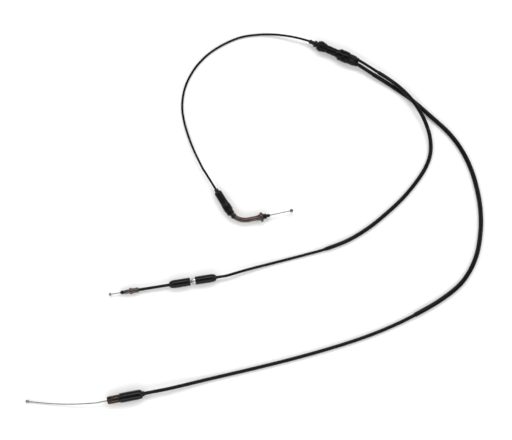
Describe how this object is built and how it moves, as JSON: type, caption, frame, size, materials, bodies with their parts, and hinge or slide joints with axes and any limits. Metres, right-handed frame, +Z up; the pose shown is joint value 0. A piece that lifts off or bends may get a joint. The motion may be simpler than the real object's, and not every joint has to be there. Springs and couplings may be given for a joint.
{
  "type": "throttle cable set",
  "caption": "Motorcycle throttle cable set: elbow-ended upper cable into a splitter that feeds an oil pump cable with inline adjuster and a longer carburettor cable.",
  "frame": {"origin": "Middle of the footprint of the fittings, on the bench that the set lies on.", "axes": "+Y runs from the carburettor end to the splitter, +X away from the bare wire ends, +Z up from the bench."},
  "size_m": [0.6169, 0.5005, 0.0161],
  "materials": {
    "rubber": "satin black moulded rubber",
    "casing_plastic": "semi-gloss black extruded cover",
    "sleeve_pvc": "soft black vinyl sleeve",
    "splitter_plastic": "black moulded nylon",
    "bronze_metal": "dark bronze-brown plating",
    "yellow_metal": "brown zinc and brass plating",
    "steel_wire": "stranded galvanised steel",
    "plated_metal": "bright zinc plate",
    "nipple_metal": "cast zinc nipple",
    "slider_plastic": "natural nylon"
  },
  "bodies": {
    "cable_body": {"grip_conduit_cap": "plated_metal", "upper_conduit": "casing_plastic", "upper_coil": "steel_wire", "upper_inner_wire": "steel_wire", "splitter_grommet": "rubber", "splitter_conduit_cap": "plated_metal", "splitter_upper_cap": "splitter_plastic", "splitter_housing": "splitter_plastic", "splitter_lower_cap": "splitter_plastic", "pump_outlet_cap": "plated_metal", "carb_outlet_cap": "plated_metal", "outlet_grommet": "rubber", "outlet_ring": "splitter_plastic", "pump_conduit": "casing_plastic", "pump_coil": "steel_wire", "pump_inner_wire": "steel_wire", "pump_sleeve": "sleeve_pvc", "adjuster_conduit_cap": "plated_metal", "carb_conduit": "casing_plastic", "carb_coil": "steel_wire", "carb_inner_wire": "steel_wire", "carb_sleeve": "sleeve_pvc", "carb_conduit_cap": "plated_metal", "carb_ferrule": "yellow_metal"},
    "throttle_slider": {"splitter_slider": "slider_plastic", "slider_wires": "steel_wire"},
    "elbow": {"elbow_tube": "bronze_metal", "elbow_collar": "bronze_metal", "elbow_seal": "rubber", "elbow_dust_ring": "rubber", "elbow_wire": "steel_wire", "grip_lock_nut": "plated_metal"},
    "grip_barrel": {"grip_adjuster_barrel": "plated_metal"},
    "grip_pull": {"grip_wire": "steel_wire", "grip_nipple": "nipple_metal"},
    "grip_boot_body": {"grip_boot": "rubber"},
    "inline_barrel": {"adjuster_barrel": "plated_metal"},
    "pump_tail": {"adjuster_screw": "plated_metal", "adjuster_lock_nut": "plated_metal", "tail_conduit": "casing_plastic", "tail_coil": "steel_wire", "pump_ferrule": "yellow_metal", "pump_seal": "rubber"},
    "front_boot": {"adjuster_front_boot": "rubber"},
    "rear_boot": {"adjuster_rear_boot": "rubber"},
    "pump_pull": {"pump_wire": "steel_wire", "pump_nipple": "nipple_metal"},
    "carb_boot_body": {"carb_boot": "rubber"},
    "carb_pull": {"carb_wire": "steel_wire", "carb_nipple": "nipple_metal"}
  },
  "joints": [
    {"name": "throttle_pull", "type": "slide", "parent": "cable_body", "child": "throttle_slider", "axis": [-0.9171, 0.3987, 0], "range_m": [-0.014, 0.007]},
    {"name": "grip_adjuster_turn", "type": "hinge", "parent": "cable_body", "child": "grip_barrel", "pos_m": [-0.01154, 0.02627, 0.0066], "axis": [-0.5299, 0.848, 0], "range_deg": [0, 1440]},
    {"name": "elbow_slide", "type": "slide", "parent": "cable_body", "child": "elbow", "axis": [0.5299, -0.848, 0], "range_m": [0, 0.004]},
    {"name": "grip_wire_slide", "type": "slide", "parent": "elbow", "child": "grip_pull", "axis": [0.9781, 0.2079, 0], "range_m": [-0.014, 0.007]},
    {"name": "grip_boot_slide", "type": "slide", "parent": "cable_body", "child": "grip_boot_body", "axis": [-0.5299, 0.848, 0], "range_m": [0, 0.025]},
    {"name": "inline_adjuster_turn", "type": "hinge", "parent": "cable_body", "child": "inline_barrel", "pos_m": [-0.04568, -0.07755, 0.00611], "axis": [-0.9873, -0.1581, -0.0157], "range_deg": [0, 1440]},
    {"name": "pump_tail_slide", "type": "slide", "parent": "cable_body", "child": "pump_tail", "axis": [-0.9873, -0.1581, -0.0157], "range_m": [0, 0.004]},
    {"name": "front_boot_slide", "type": "slide", "parent": "cable_body", "child": "front_boot", "axis": [0.9873, 0.1581, 0.0157], "range_m": [0, 0.01]},
    {"name": "rear_boot_slide", "type": "slide", "parent": "pump_tail", "child": "rear_boot", "axis": [-0.9873, -0.1581, -0.0157], "range_m": [0, 0.02]},
    {"name": "pump_wire_slide", "type": "slide", "parent": "cable_body", "child": "pump_pull", "axis": [0.9873, 0.1581, 0.0157], "range_m": [-0.014, 0.007]},
    {"name": "carb_boot_slide", "type": "slide", "parent": "cable_body", "child": "carb_boot_body", "axis": [0.9816, 0.1908, 0], "range_m": [0, 0.022]},
    {"name": "carb_wire_slide", "type": "slide", "parent": "cable_body", "child": "carb_pull", "axis": [0.9816, 0.1908, 0], "range_m": [-0.014, 0.007]}
  ],
  "couplings": [
    {"joint": "grip_wire_slide", "follows": "throttle_pull", "ratio": 1},
    {"joint": "pump_wire_slide", "follows": "throttle_pull", "ratio": 1},
    {"joint": "carb_wire_slide", "follows": "throttle_pull", "ratio": 1},
    {"joint": "grip_adjuster_turn", "follows": "elbow_slide", "rad_per_m": 6283.2},
    {"joint": "inline_adjuster_turn", "follows": "pump_tail_slide", "rad_per_m": 6283.2}
  ]
}
